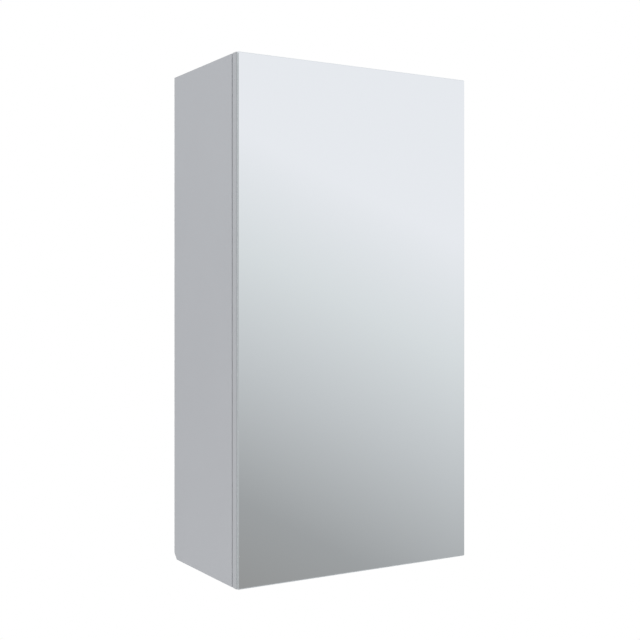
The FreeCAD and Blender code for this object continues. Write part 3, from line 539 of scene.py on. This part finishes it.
for side in ("left", "right"):
    housing = cut_piece("hanger_housing_" + side, "housing_" + side)
    housing = round_corners(housing, Z, MOULDED_ROUND, lambda place: abs(place.x) < HOUSING_INNER_X)
    housing = ease_edges(housing, MOULDED_EASE)
    housing.data.materials.append(WHITE_PLASTIC)
    fit_up(housing, CABINET, "white_plastic", "hanger_housing_" + side)
jack_places = [((side * JACK_X, JACK_Y, JACK_FOOT), DOWN) for side in (-1, 1)]
jacks = set_out(screw("jack_rods", **JACK_SCREW), ZINC, jack_places)
fit_up(jacks, CABINET, "zinc", "hanger_jack_screws")
fixing_places = [((side * FIXING_TIP_X, FIXING_Y, height), Vector((-side, 0, 0)))
                 for side in (-1, 1) for height in FIXING_HEIGHTS]
fixings = set_out(screw("housing_screws", **FIXING_SCREW), ZINC, fixing_places)
fit_up(fixings, CABINET, "zinc", "hanger_fixing_screws")

# Shelf pins and pads.
# Nickel-plated steel pins with a flat tongue are pushed into the side boards, and a soft clear pad on each
# keeps the glass from slipping.
NICKEL = finish_of("Nickel plating", (0.79, 0.78, 0.75, 1), (0.72, 0.71, 0.68, 1), patches=45,
                   grain=1500, gloss=0.16, dull=0.28, relief=0.15, metal=1.0)
CLEAR_PAD = finish_of("Clear pad", (0.72, 0.74, 0.74, 1), (0.64, 0.67, 0.67, 1), patches=80,
                      grain=900, gloss=0.18, dull=0.30, relief=0.2)
for level in ("upper", "lower"):
    pins = ease_edges(cut_piece("shelf_pins_" + level, "pins_" + level), STEEL_EASE)
    pins.data.materials.append(NICKEL)
    fit_up(pins, CABINET, "nickel_steel", "shelf_pins_" + level)
    pads = ease_edges(cut_piece("shelf_pads_" + level, "pads_" + level), STEEL_EASE)
    pads.data.materials.append(CLEAR_PAD)
    fit_up(pads, CABINET, "clear_pad", "shelf_pads_" + level)

# Glass shelves.
# Clear float glass, 5 mm thick, with dubbed corners and ground edges that look green, lying loose on the
# pads.
SHELF_CORNER = 0.0025
SHELF_ARRIS = 0.0006
SHELF_TINTS = ((0.93, 0.98, 0.96, 1), (0.91, 0.97, 0.945, 1))
SHELF_GLOSS = (0.0, 0.02)
SHELF_RIPPLE_SCALE = 6
GLASS_IOR = 1.5
RIPPLE_DETAIL = 1
RIPPLE_STRENGTH = 0.1
RIPPLE_HEIGHT = 0.0001
GROUND_EDGE = finish_of("Ground glass edge", (0.44, 0.62, 0.56, 1), (0.35, 0.54, 0.48, 1),
                        patches=60, grain=2000, gloss=0.16, dull=0.30, relief=0.3)


def rippled_material(name, tints, gloss_span, ripple_scale):
    """Start a glass: a faint drift of tint and gloss and the slow ripple of a float sheet."""
    material, tree, shader = new_material(name)
    place = tree.nodes.new("ShaderNodeTexCoord")
    ripple = tree.nodes.new("ShaderNodeTexNoise")
    ripple.inputs["Scale"].default_value = ripple_scale
    ripple.inputs["Detail"].default_value = RIPPLE_DETAIL
    swell = tree.nodes.new("ShaderNodeBump")
    swell.inputs["Strength"].default_value = RIPPLE_STRENGTH
    swell.inputs["Distance"].default_value = RIPPLE_HEIGHT
    tint = tree.nodes.new("ShaderNodeMix")
    tint.data_type = "RGBA"
    tint.inputs["A"].default_value, tint.inputs["B"].default_value = tints
    gloss = tree.nodes.new("ShaderNodeMapRange")
    gloss.inputs["To Min"].default_value, gloss.inputs["To Max"].default_value = gloss_span
    link = tree.links.new
    link(place.outputs["Object"], ripple.inputs["Vector"])
    link(ripple.outputs["Fac"], swell.inputs["Height"])
    link(swell.outputs["Normal"], shader.inputs["Normal"])
    link(ripple.outputs["Fac"], tint.inputs["Factor"])
    link(tint.outputs["Result"], shader.inputs["Base Color"])
    link(ripple.outputs["Fac"], gloss.inputs["Value"])
    link(gloss.outputs["Result"], shader.inputs["Roughness"])
    return material, shader


def glass_sheet(node, name, corner_axis, corner, arris, ground):
    """Cut a sheet of glass, dub its corners and grind an arris round some of its faces."""
    sheet = round_corners(lay_block(node, name), corner_axis, corner)
    low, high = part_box(node)
    for way in ground:
        bpy.ops.object.mode_set(mode="EDIT")
        bpy.ops.mesh.select_mode(type="FACE")
        bpy.ops.mesh.select_all(action="DESELECT")
        bpy.ops.object.mode_set(mode="OBJECT")
        for face in sheet.data.polygons:
            face.select = face.normal.dot(way) > FACING
        bpy.ops.object.mode_set(mode="EDIT")
        bpy.ops.transform.translate(value=way * -arris)
        bpy.ops.mesh.extrude_region_move(TRANSFORM_OT_translate={"value": way * arris})
        shares = [1 - 2 * arris * (1 - abs(part)) / length
                  for part, length in zip(way, high - low)]
        bpy.ops.transform.resize(value=shares, center_override=(low + high) / 2)
        bpy.ops.object.mode_set(mode="OBJECT")
    return smooth_bends(sheet)


SHELF_GLASS, shader = rippled_material("Shelf glass", SHELF_TINTS, SHELF_GLOSS, SHELF_RIPPLE_SCALE)
shader.inputs["Transmission Weight"].default_value = 1.0
shader.inputs["IOR"].default_value = GLASS_IOR
for level in ("upper", "lower"):
    shelf = glass_sheet("shelf_" + level, "glass_shelf_" + level, Z, SHELF_CORNER, SHELF_ARRIS,
                        (UP, DOWN))
    shelf.data.materials.append(SHELF_GLASS)
    shelf.data.materials.append(GROUND_EDGE)
    for face in shelf.data.polygons:
        face.material_index = 0 if abs(face.normal.z) > FACING else 1
    fit_up(shelf, "shelf_" + level, "shelf_glass", "shelf_" + level)

# Hinge plates and arms.
# Nickel-plated steel. Each cross plate is screwed to the right side board by its two wings, and a bent arm
# is clamped on it by two machine screws.
HINGES = {"upper": -0.040, "lower": -0.590}
WING_ROUND = 0.003
ARM_BEND_X = 0.190
ARM_BEND_Y = -0.150
ARM_TAIL_Y = -0.141
PLATE_SCREW = {"length": 14.5, "shank": 4, "head": 7, "head_height": 2, "pitch": 1.4}
PLATE_SCREW_STEP = 0.016
PLATE_SCREW_Y = -0.163
PLATE_SCREW_TIP = 0.195
ARM_SCREW = {"length": 8, "shank": 4, "head": 7, "head_height": 2, "pitch": 0.7}
ARM_SCREW_ROWS = (-0.182, -0.150)
ARM_SCREW_TIP = 0.183
LEFTWARD = Vector((-1, 0, 0))
for level in HINGES:
    plate = round_corners(cut_piece("hinge_plate_" + level, "cross_plate_" + level), X, WING_ROUND)
    plate = ease_edges(plate, MOULDED_EASE)
    plate.data.materials.append(NICKEL)
    fit_up(plate, CABINET, "nickel_steel", "hinge_plate_" + level)
    arm = cut_piece("hinge_arm_" + level, "arm_" + level)
    arm = round_corners(arm, Z, BEND_ROUND,
                        lambda place: place.x < ARM_BEND_X and place.y < ARM_BEND_Y)
    arm = round_corners(arm, X, SHEET_CORNER, lambda place: place.y > ARM_TAIL_Y)
    arm = ease_edges(arm, STEEL_EASE)
    arm.data.materials.append(NICKEL)
    fit_up(arm, CABINET, "nickel_steel", "hinge_arm_" + level)
plate_places = [((PLATE_SCREW_TIP, PLATE_SCREW_Y, height + step), LEFTWARD)
                for height in HINGES.values() for step in (-PLATE_SCREW_STEP, PLATE_SCREW_STEP)]
plate_screws = set_out(screw("plate_screws", **PLATE_SCREW), NICKEL, plate_places)
fit_up(plate_screws, CABINET, "nickel_steel", "hinge_plate_screws")
arm_places = [((ARM_SCREW_TIP, row, height), LEFTWARD)
              for height in HINGES.values() for row in ARM_SCREW_ROWS]
arm_screws = set_out(screw("arm_screws", **ARM_SCREW), NICKEL, arm_places)
fit_up(arm_screws, CABINET, "nickel_steel", "hinge_arm_screws")

# Hinge cups.
# A pressed steel cup with a winged flange is let into the door and screwed on. A raised bead stiffens its
# mouth, and the arm turns on a pin between its two ears.
DOOR = "door"
FLANGE_FROM_Y = -0.2015
WING_START = 0.011
CUP_X = 0.1775
BEAD_Y = -0.2008
BEAD_RADIUS = 0.0178
BEAD_WIDTH = 0.0004
BEAD_STEPS = 64
BEAD_SIDES = 10
BEAD_END_X = 0.187
PIN_AT = (0.194, -0.2095)
PIN_HALF = 0.0083
PIN_PROFILE = ((1.1, 0), (1.5, 0.4), (1.5, 16.2), (1.1, 16.6))
CUP_SCREW = {"length": 10, "shank": 3.5, "head": 6.6, "head_height": 1.6, "pitch": 1.2}
CUP_SCREW_X = 0.1715
CUP_SCREW_STEP = 0.024
CUP_SCREW_TIP = -0.2108
REARWARD = -FRONTWARD
for level, height in HINGES.items():
    cup = cut_piece("hinge_cup_" + level, "cup_" + level)
    cup = round_corners(cup, Y, SHEET_CORNER,
                        lambda place: place.y > FLANGE_FROM_Y and abs(place.z - height) > WING_START)
    cup = ease_edges(cup, STEEL_EASE)
    cup.data.materials.append(NICKEL)
    fit_up(cup, DOOR, "nickel_steel", "hinge_cup_" + level)
    bpy.ops.object.select_all(action="DESELECT")
    bpy.ops.mesh.primitive_torus_add(
        location=(CUP_X, BEAD_Y, height), rotation=(QUARTER_TURN, 0, 0), major_segments=BEAD_STEPS,
        minor_segments=BEAD_SIDES, major_radius=BEAD_RADIUS, minor_radius=BEAD_WIDTH)
    bead = bpy.context.object
    bead.name = bead.data.name = "cup_bead_" + level
    bpy.ops.object.transform_apply(location=True, rotation=True, scale=True)
    bpy.ops.object.mode_set(mode="EDIT")
    bpy.ops.mesh.select_all(action="SELECT")
    bpy.ops.mesh.bisect(plane_co=(BEAD_END_X, 0, 0), plane_no=(1, 0, 0), use_fill=True,
                        clear_outer=True)
    bpy.ops.object.mode_set(mode="OBJECT")
    smooth_bends(bead)
    bead.data.materials.append(NICKEL)
    fit_up(bead, DOOR, "nickel_steel")
pin_places = [((*PIN_AT, height - PIN_HALF), UP) for height in HINGES.values()]
pins = set_out(turned("pivot_pins", PIN_PROFILE), NICKEL, pin_places)
fit_up(pins, DOOR, "nickel_steel", "hinge_pins")
cup_screw_places = [((CUP_SCREW_X, CUP_SCREW_TIP, height + step), REARWARD)
                    for height in HINGES.values() for step in (-CUP_SCREW_STEP, CUP_SCREW_STEP)]
cup_screws = set_out(screw("cup_screws", **CUP_SCREW), NICKEL, cup_screw_places)
fit_up(cup_screws, DOOR, "nickel_steel", "hinge_cup_screws")

# Push latch.
# A grey moulded housing is screwed to the left side board. Its sprung white plunger has a soft tip that
# meets a steel disc glued to the door.
LATCH_X = -0.178
LATCH_Z = -0.315
LATCH_INNER_X = -0.172
LATCH_WING_START = 0.011
LATCH_SCREW_Y = -0.1575
LATCH_SCREW_HEIGHTS = (-0.326, -0.304)
PLUNGER_FOOT_Y = -0.1502
PLUNGER_PROFILE = ((4.4, 0), (4.9, 0.5), (4.9, 43.8), (4.5, 44.2), (4.5, 45), (4.9, 45.4),
                   (4.9, 48.5), (4.4, 49), (2.05, 49), (2.05, 45), (0.5, 45))
TIP_FOOT_Y = -0.19525
TIP_PROFILE = ((2, 0), (2, 3.95), (4.1, 3.95), (4.5, 4.35), (4.5, 5.0), (4.1, 5.35), (1, 5.45))
DOOR_BACK = -0.202
STRIKE_PROFILE = ((8, 0), (8, 0.6), (7.6, 1), (3.2, 1), (2.4, 0.5), (0.5, 0.5))
GREY_PLASTIC = finish_of("Grey plastic", (0.33, 0.335, 0.345, 1), (0.30, 0.305, 0.315, 1),
                         patches=30, grain=2200, gloss=0.38, dull=0.50, relief=0.4)
SOFT_RUBBER = finish_of("Grey rubber", (0.34, 0.34, 0.34, 1), (0.29, 0.29, 0.29, 1), patches=60,
                        grain=1500, gloss=0.6, dull=0.8, relief=0.5)
housing = cut_piece("latch_housing", "latch_case")
housing = round_corners(housing, Y, MOULDED_ROUND, lambda place: place.x > LATCH_INNER_X)
housing = round_corners(housing, X, SHEET_CORNER,
                        lambda place: abs(place.z - LATCH_Z) > LATCH_WING_START)
housing = ease_edges(housing, MOULDED_EASE)
housing.data.materials.append(GREY_PLASTIC)
fit_up(housing, CABINET, "grey_plastic", "latch_housing")
latch_places = [((-PLATE_SCREW_TIP, LATCH_SCREW_Y, height), -LEFTWARD)
                for height in LATCH_SCREW_HEIGHTS]
latch_screws = set_out(screw("latch_case_screws", **PLATE_SCREW), NICKEL, latch_places)
fit_up(latch_screws, CABINET, "nickel_steel", "latch_screws")
plunger = set_out(turned("plunger", PLUNGER_PROFILE), WHITE_PLASTIC,
                  [((LATCH_X, PLUNGER_FOOT_Y, LATCH_Z), FRONTWARD)])
fit_up(plunger, "latch_plunger", "white_plastic", "latch_plunger")
tip = set_out(turned("plunger_tip", TIP_PROFILE), SOFT_RUBBER,
              [((LATCH_X, TIP_FOOT_Y, LATCH_Z), FRONTWARD)])
fit_up(tip, "latch_plunger", "soft_rubber", "latch_tip")
strike = set_out(turned("strike_disc", STRIKE_PROFILE), GALVANISED,
                 [((LATCH_X, DOOR_BACK, LATCH_Z), REARWARD)])
fit_up(strike, DOOR, "galvanised_steel", "latch_strike")
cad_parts["latch_spring"].material_slots[0].material = ZINC

# Door board and its edge strips.
# A 12 mm faced board bored for the hinge cups, with plastic strip glued to all four edges.
board = cut_board("door_board", "door_panel", (Y,))
fit_up(board, DOOR, "door_board", "door_board")
for end, outward in (("left", LEFTWARD), ("right", -LEFTWARD), ("top", UP), ("bottom", DOWN)):
    strip = edge_strip("door_band_" + end, "door_strip_" + end, outward)
    fit_up(strip, DOOR, "edge_strip", "door_band_" + end)

# Foam tape.
# Dark double-sided foam tape, 1 mm thick, holds the mirror a few millimetres in from the door's edge.
TAPE_EASE = 0.0001
FOAM_TAPE = finish_of("Foam tape", (0.060, 0.060, 0.063, 1), (0.040, 0.040, 0.042, 1),
                      patches=200, grain=2600, gloss=0.75, dull=0.9, relief=0.8)
tape = ease_edges(cut_piece("mirror_tape", "foam_tape"), TAPE_EASE)
tape.data.materials.append(FOAM_TAPE)
fit_up(tape, DOOR, "tape", "mirror_tape")

# Mirror.
# Silvered float glass, 4 mm thick, over the whole door. Its corners are dubbed and its front edges are
# polished to a narrow arris, and grey paint covers the silver behind.
MIRROR_CORNER = 0.0018
MIRROR_ARRIS = 0.0016
MIRROR_TINTS = ((0.925, 0.943, 0.945, 1), (0.920, 0.940, 0.940, 1))
MIRROR_GLOSS = (0.012, 0.028)
MIRROR_RIPPLE_SCALE = 3
FRONT_FACING = 0.99
ARRIS_FACING = 0.1
SILVER, shader = rippled_material("Silvered glass", MIRROR_TINTS, MIRROR_GLOSS, MIRROR_RIPPLE_SCALE)
shader.inputs["Metallic"].default_value = 1.0
ARRIS_GLASS = finish_of("Polished arris", (0.87, 0.89, 0.89, 1), (0.83, 0.86, 0.86, 1),
                        patches=40, grain=900, gloss=0.06, dull=0.14, relief=0.05, metal=0.95)
GLASS_EDGE = finish_of("Mirror edge", (0.42, 0.44, 0.445, 1), (0.38, 0.41, 0.415, 1), patches=90,
                       grain=1600, gloss=0.14, dull=0.26, relief=0.15)
BACKING_PAINT = finish_of("Mirror backing paint", (0.16, 0.17, 0.17, 1), (0.13, 0.14, 0.14, 1),
                          patches=40, grain=1300, gloss=0.45, dull=0.6, relief=0.3)
MIRROR_FINISHES = [SILVER, ARRIS_GLASS, GLASS_EDGE, BACKING_PAINT]
mirror = glass_sheet("mirror_glass", "mirror", Y, MIRROR_CORNER, MIRROR_ARRIS, (FRONTWARD,))
for material in MIRROR_FINISHES:
    mirror.data.materials.append(material)
for face in mirror.data.polygons:
    facing = face.normal.dot(FRONTWARD)
    finish = GLASS_EDGE
    if facing > FRONT_FACING:
        finish = SILVER
    elif facing > ARRIS_FACING:
        finish = ARRIS_GLASS
    elif facing < -FACING:
        finish = BACKING_PAINT
    face.material_index = MIRROR_FINISHES.index(finish)
fit_up(mirror, DOOR, "mirror", "mirror_glass")

# Door bumpers.
# Two clear self-adhesive domes on the free edge of the door soften its closing.
BUMPER_X = -0.1925
BUMPER_HEIGHTS = (0.0525, -0.6825)
BUMPER_PROFILE = ((4, 0), (4, 0.3), (3.75, 0.75), (3.1, 1.2), (2.1, 1.48), (0.9, 1.6))
bumper_places = [((BUMPER_X, DOOR_BACK, height), REARWARD) for height in BUMPER_HEIGHTS]
bumpers = set_out(turned("bumpers", BUMPER_PROFILE), CLEAR_PAD, bumper_places)
fit_up(bumpers, DOOR, "clear_pad", "door_bumpers")

# Studio floor.
# The cabinet hangs at its usual height over a pale floor, which runs out into white for the camera and
# into the grey of the room for the mirror.
FLOOR_DROP = 1.25
FLOOR_MIDDLE_Y = -0.1
FLOOR_RADIUS = 2.2
FLOOR_STEPS = 128
FADE_START = 0.9
FADE_END = 2.1
FLOOR_PAINT = (0.86, 0.86, 0.86, 1)
FLOOR_IN_MIRROR = (0.60, 0.61, 0.625, 1)
FLOOR_ROUGHNESS = 0.9
bpy.ops.object.select_all(action="DESELECT")
bpy.ops.mesh.primitive_circle_add(
    vertices=FLOOR_STEPS, radius=FLOOR_RADIUS, fill_type="NGON",
    location=(0, FLOOR_MIDDLE_Y, cad_low.z - FLOOR_DROP))
floor = bpy.context.object
floor.name = "floor"
material, tree, shader = new_material("Studio floor")
place = tree.nodes.new("ShaderNodeTexCoord")
reach = tree.nodes.new("ShaderNodeVectorMath")
reach.operation = "LENGTH"
fade = tree.nodes.new("ShaderNodeMapRange")
fade.interpolation_type = "SMOOTHSTEP"
fade.inputs["From Min"].default_value = FADE_START
fade.inputs["From Max"].default_value = FADE_END
rays = tree.nodes.new("ShaderNodeLightPath")
paint = tree.nodes.new("ShaderNodeMix")
paint.data_type = "RGBA"
paint.inputs["A"].default_value = FLOOR_PAINT
paint.inputs["B"].default_value = FLOOR_IN_MIRROR
white = tree.nodes.new("ShaderNodeEmission")
open_air = tree.nodes.new("ShaderNodeBsdfTransparent")
beyond = tree.nodes.new("ShaderNodeMixShader")
blend = tree.nodes.new("ShaderNodeMixShader")
link = tree.links.new
link(place.outputs["Object"], reach.inputs[0])
link(reach.outputs["Value"], fade.inputs["Value"])
link(rays.outputs["Is Glossy Ray"], paint.inputs["Factor"])
link(paint.outputs["Result"], shader.inputs["Base Color"])
link(rays.outputs["Is Camera Ray"], beyond.inputs["Fac"])
link(open_air.outputs["BSDF"], beyond.inputs[1])
link(white.outputs["Emission"], beyond.inputs[2])
link(fade.outputs["Result"], blend.inputs["Fac"])
link(shader.outputs["BSDF"], blend.inputs[1])
link(beyond.outputs["Shader"], blend.inputs[2])
link(blend.outputs["Shader"], tree.nodes["Material Output"].inputs["Surface"])
shader.inputs["Roughness"].default_value = FLOOR_ROUGHNESS
shader.inputs["Specular IOR Level"].default_value = 0.0
floor.data.materials.append(material)

# Studio lamps.
# Three large soft lamps, out of the mirror's sight: one in front, one to the left and one behind. Each
# level is how bright it makes a white surface that faces it.
LAMP_AIM = Vector((0, -0.1, -0.3))
LAMPS = (
    ("key_lamp", (1.5, -2.6, 1.1), 1.6, 0.42),
    ("fill_lamp", (-3.6, -1.0, -1.2), 1.8, 0.385),
    ("rear_lamp", (0.3, 2.6, 1.0), 1.6, 0.30))
for name, spot, size, level in LAMPS:
    away = Vector(spot) - LAMP_AIM
    lamp_data = bpy.data.lights.new(name, "AREA")
    lamp_data.shape = "DISK"
    lamp_data.size = size
    lamp_data.energy = level * math.pi ** 2 * away.length_squared
    lamp = bpy.data.objects.new(name, lamp_data)
    lamp.location = spot
    lamp.rotation_euler = away.to_track_quat("Z", "Y").to_euler()
    lamp.visible_glossy = False
    bpy.context.scene.collection.objects.link(lamp)

# Studio room.
# White for the camera and through glass, a plain pale light for surfaces, and for the mirror a grey that
# grows lighter upwards and to the right, as the photograph's mirror shows it.
ROOM_LIGHT = (0.57, 0.58, 0.60, 1)
WHITE = (1, 1, 1, 1)
# The room's greys from its floor up, each with its place on a scale in degrees.
ROOM_GREYS = ((-45, (0.60, 0.61, 0.62)), (-25, (0.44, 0.45, 0.46)), (-5, (0.31, 0.31, 0.31)),
              (0, (0.31, 0.31, 0.31)), (5, (0.36, 0.37, 0.38)), (12, (0.56, 0.58, 0.60)),
              (18, (0.72, 0.75, 0.77)), (24, (0.86, 0.87, 0.91)))
# For each way to the side, in degrees: where the horizon lies on that scale, and how fast it is climbed.
ROOM_TURNS = ((-180, 9, 1), (-100, 9, 1), (-75, 10, 0.1), (-50, 10, 0.1), (-25, 9, 1), (0, 9, 1),
              (20, 12, 1), (38, 21, 1), (70, 22, 1), (120, 13, 1), (180, 9, 1))
RISE_LOW = -45
RISE_SPAN = 75
FULL_TURN = 360


def rise_share(rise):
    """Turn a rise in degrees into a place along the greys."""
    return (rise - RISE_LOW) / RISE_SPAN


def value_step(tree, operation, first, second=None, third=None):
    """Add one step of arithmetic on outputs or plain numbers and return its result."""
    node = tree.nodes.new("ShaderNodeMath")
    node.operation = operation
    for socket, value in zip(node.inputs, (first, second, third)):
        if isinstance(value, (int, float)):
            socket.default_value = value
        elif value is not None:
            tree.links.new(value, socket)
    return node.outputs[0]


def chosen_by(tree, ray, before, after):
    """Mix from one colour to another where a ray is of the given kind."""
    node = tree.nodes.new("ShaderNodeMix")
    node.data_type = "RGBA"
    tree.links.new(ray, node.inputs["Factor"])
    for label, colour in (("A", before), ("B", after)):
        if isinstance(colour, tuple):
            node.inputs[label].default_value = colour
        else:
            tree.links.new(colour, node.inputs[label])
    return node.outputs["Result"]


world = bpy.data.worlds.new("Studio")
bpy.context.scene.world = world
world.use_nodes = True
tree = world.node_tree
link = tree.links.new
way = tree.nodes.new("ShaderNodeTexCoord")
parts = tree.nodes.new("ShaderNodeSeparateXYZ")
link(way.outputs["Generated"], parts.inputs[0])
ahead = value_step(tree, "MULTIPLY", parts.outputs["Y"], -1)
turn = value_step(tree, "ARCTAN2", parts.outputs["X"], ahead)
turn_share = value_step(tree, "MULTIPLY_ADD", turn, 0.5 / math.pi, 0.5)
turns = colour_stops(tree, [(angle / FULL_TURN + 0.5, (rise_share(rise), slope, 0))
                            for angle, rise, slope in ROOM_TURNS])
link(turn_share, turns.inputs["Fac"])
by_turn = tree.nodes.new("ShaderNodeSeparateColor")
link(turns.outputs["Color"], by_turn.inputs["Color"])
height = value_step(tree, "ARCSINE", parts.outputs["Z"])
height_share = value_step(tree, "MULTIPLY", height, math.degrees(1) / RISE_SPAN)
total = value_step(tree, "MULTIPLY_ADD", height_share, by_turn.outputs["Green"],
                   by_turn.outputs["Red"])
greys = colour_stops(tree, [(rise_share(rise), colour) for rise, colour in ROOM_GREYS])
link(total, greys.inputs["Fac"])
rays = tree.nodes.new("ShaderNodeLightPath")
seen = chosen_by(tree, rays.outputs["Is Glossy Ray"], ROOM_LIGHT, greys.outputs["Color"])
seen = chosen_by(tree, rays.outputs["Is Transmission Ray"], seen, WHITE)
seen = chosen_by(tree, rays.outputs["Is Camera Ray"], seen, WHITE)
link(seen, tree.nodes["Background"].inputs["Color"])

# Camera.
# The photograph's viewpoint: in front and to the left, level, a little above the middle of the door.
PHOTO_WIDTH = 640
FOCAL_PIXELS = 1102
HORIZON_PIXEL = 298.3
CAMERA_PLACE = (-0.892, -1.591, -0.284)
CAMERA_TURN = math.radians(-31.03)
camera_data = bpy.data.cameras.new("camera")
camera_data.lens = camera_data.sensor_width * FOCAL_PIXELS / PHOTO_WIDTH
camera_data.shift_y = (HORIZON_PIXEL - PHOTO_WIDTH / 2) / PHOTO_WIDTH
camera = bpy.data.objects.new("camera", camera_data)
camera.location = CAMERA_PLACE
camera.rotation_euler = (QUARTER_TURN, 0, CAMERA_TURN)
bpy.context.scene.collection.objects.link(camera)
bpy.context.scene.camera = camera
bpy.context.scene.view_settings.view_transform = "Standard"
